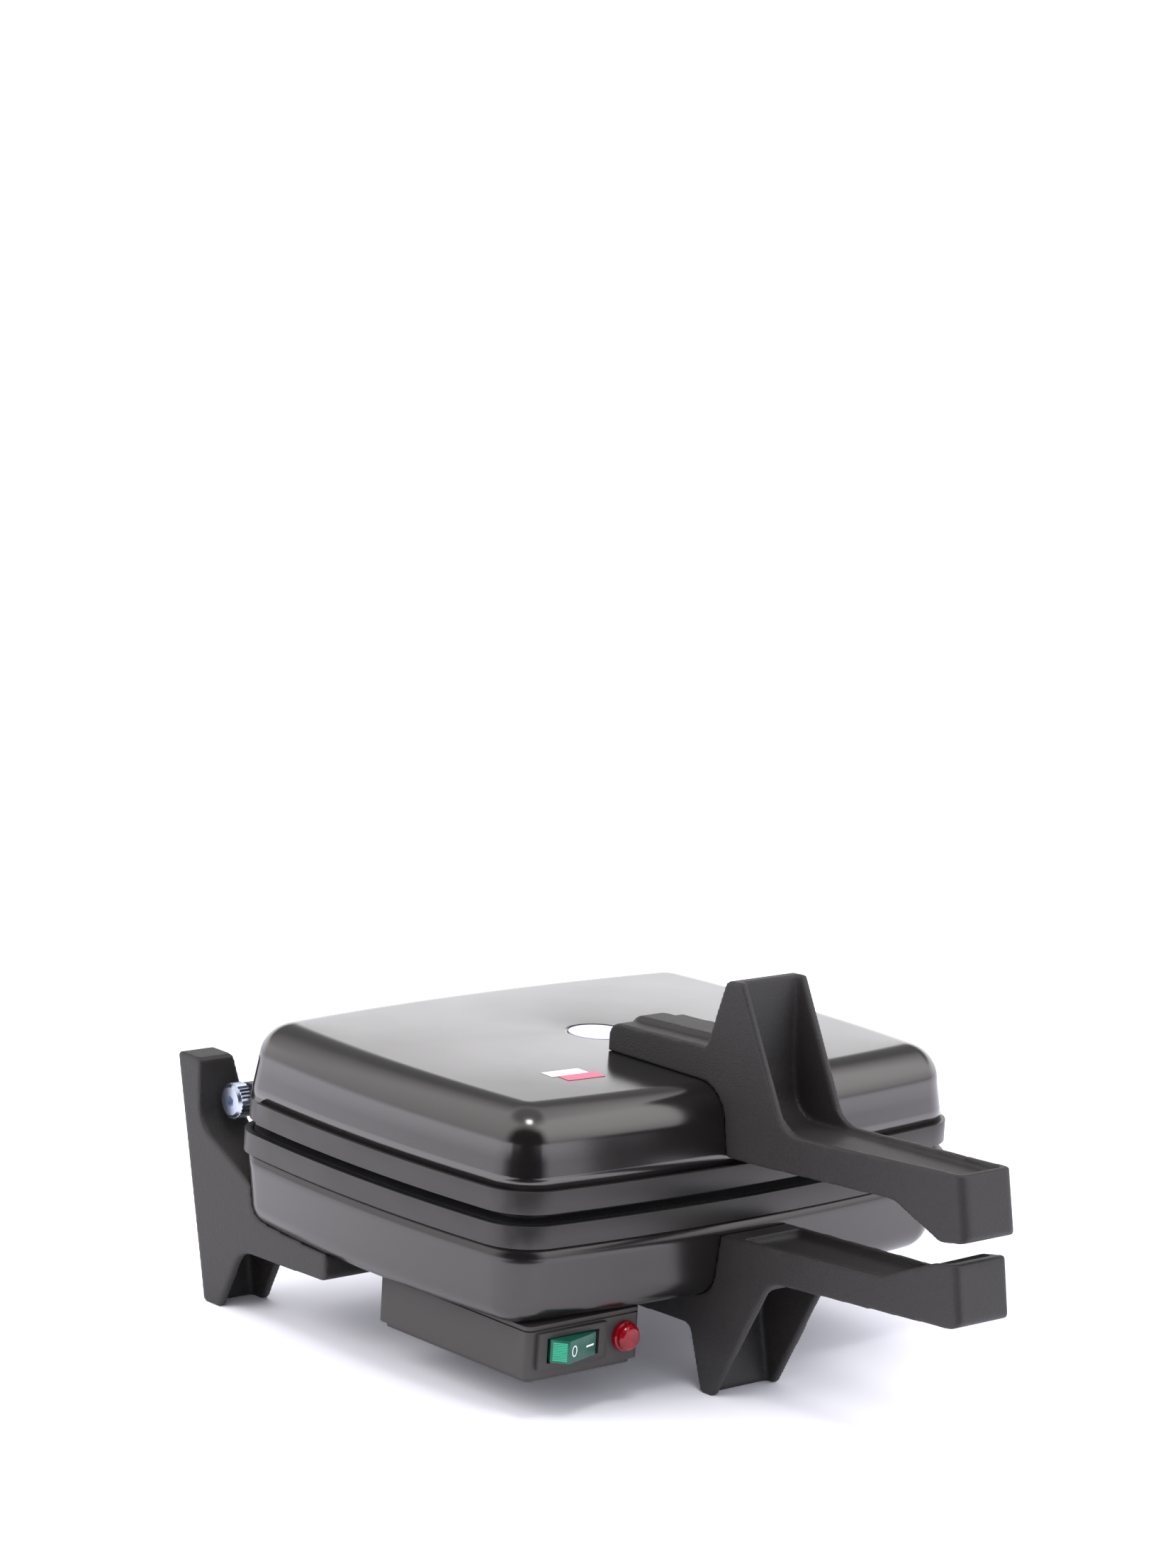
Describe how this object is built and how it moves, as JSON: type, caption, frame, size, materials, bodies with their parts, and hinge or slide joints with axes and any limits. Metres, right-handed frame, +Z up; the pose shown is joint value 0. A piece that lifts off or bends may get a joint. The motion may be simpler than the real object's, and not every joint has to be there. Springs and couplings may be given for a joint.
{
  "type": "donut maker",
  "caption": "Table-top donut maker: hinged lid and pan with ring moulds, trough handles, front leg, rear legs that rest the open lid, control box with rocker and lamp.",
  "frame": {"origin": "on the table, under the middle of the whole object", "axes": "+X to the object's right as seen from the handles, -Y towards the handles, +Z up"},
  "size_m": [0.2332, 0.3286, 0.1534],
  "materials": {
    "enamel": "semi-gloss black enamel",
    "frame_coat": "satin black coating on cast aluminium",
    "plate_coat": "dark non-stick coating",
    "handle_plastic": "fine-grained black",
    "box_plastic": "matt warm black",
    "switch_plastic": "matt black",
    "rocker_green": "translucent green",
    "lamp_red": "translucent red",
    "zinc": "zinc plated",
    "steel": "plain",
    "shield": "rolled sheet",
    "ceramic": "ivory",
    "rubber": "black",
    "badge": "plain pale",
    "label": "paper, red and white"
  },
  "bodies": {
    "base": {"lower_shell": "enamel", "lower_frame": "frame_coat", "lower_plate": "plate_coat", "lower_element": "steel", "lower_clamps": "steel", "lower_heat_shield": "shield", "lower_plate_screws": "zinc", "thermostat": "steel", "lower_handle": "handle_plastic", "lower_handle_screws": "zinc", "rear_leg_left": "handle_plastic", "rear_leg_right": "handle_plastic", "rear_leg_screws": "zinc", "control_box": "box_plastic", "control_box_cover": "box_plastic", "control_box_screws": "zinc", "cord_gland": "rubber", "terminal_block": "ceramic", "switch_body": "switch_plastic", "lamp_lens": "lamp_red", "lamp_body": "lamp_red", "wire_grommet": "rubber", "hinge_washers": "zinc"},
    "lid": {"upper_shell": "enamel", "upper_frame": "frame_coat", "upper_plate": "plate_coat", "upper_element": "steel", "upper_clamps": "steel", "upper_heat_shield": "shield", "upper_plate_screws": "zinc", "thermal_fuse": "ceramic", "upper_handle": "handle_plastic", "upper_handle_screws": "zinc", "badge_disc": "badge", "lid_label": "label"},
    "rocker": {"switch_rocker": "rocker_green"},
    "left_hinge_screw": {"hinge_screw_left": "zinc"},
    "right_hinge_screw": {"hinge_screw_right": "zinc"},
    "lock_screw": {"plate_lock_screw": "zinc"}
  },
  "joints": [
    {"name": "lid_hinge", "type": "hinge", "parent": "base", "child": "lid", "pos_m": [0, 0.14075, 0.0772], "axis": [-1, 0, 0], "range_deg": [0, 90]},
    {"name": "switch_tilt", "type": "hinge", "parent": "base", "child": "rocker", "pos_m": [-0.07735, -0.03785, 0.02635], "axis": [0, 0, 1], "range_deg": [-30, 0]},
    {"name": "left_hinge_screw_turn", "type": "hinge", "parent": "base", "child": "left_hinge_screw", "pos_m": [-0.0911, 0.14075, 0.0772], "axis": [-1, 0, 0], "continuous": true},
    {"name": "right_hinge_screw_turn", "type": "hinge", "parent": "base", "child": "right_hinge_screw", "pos_m": [0.0911, 0.14075, 0.0772], "axis": [1, 0, 0], "continuous": true},
    {"name": "lock_screw_turn", "type": "hinge", "parent": "base", "child": "lock_screw", "pos_m": [0.11505, -0.02325, 0.0699], "axis": [1, 0, 0], "continuous": true}
  ]
}
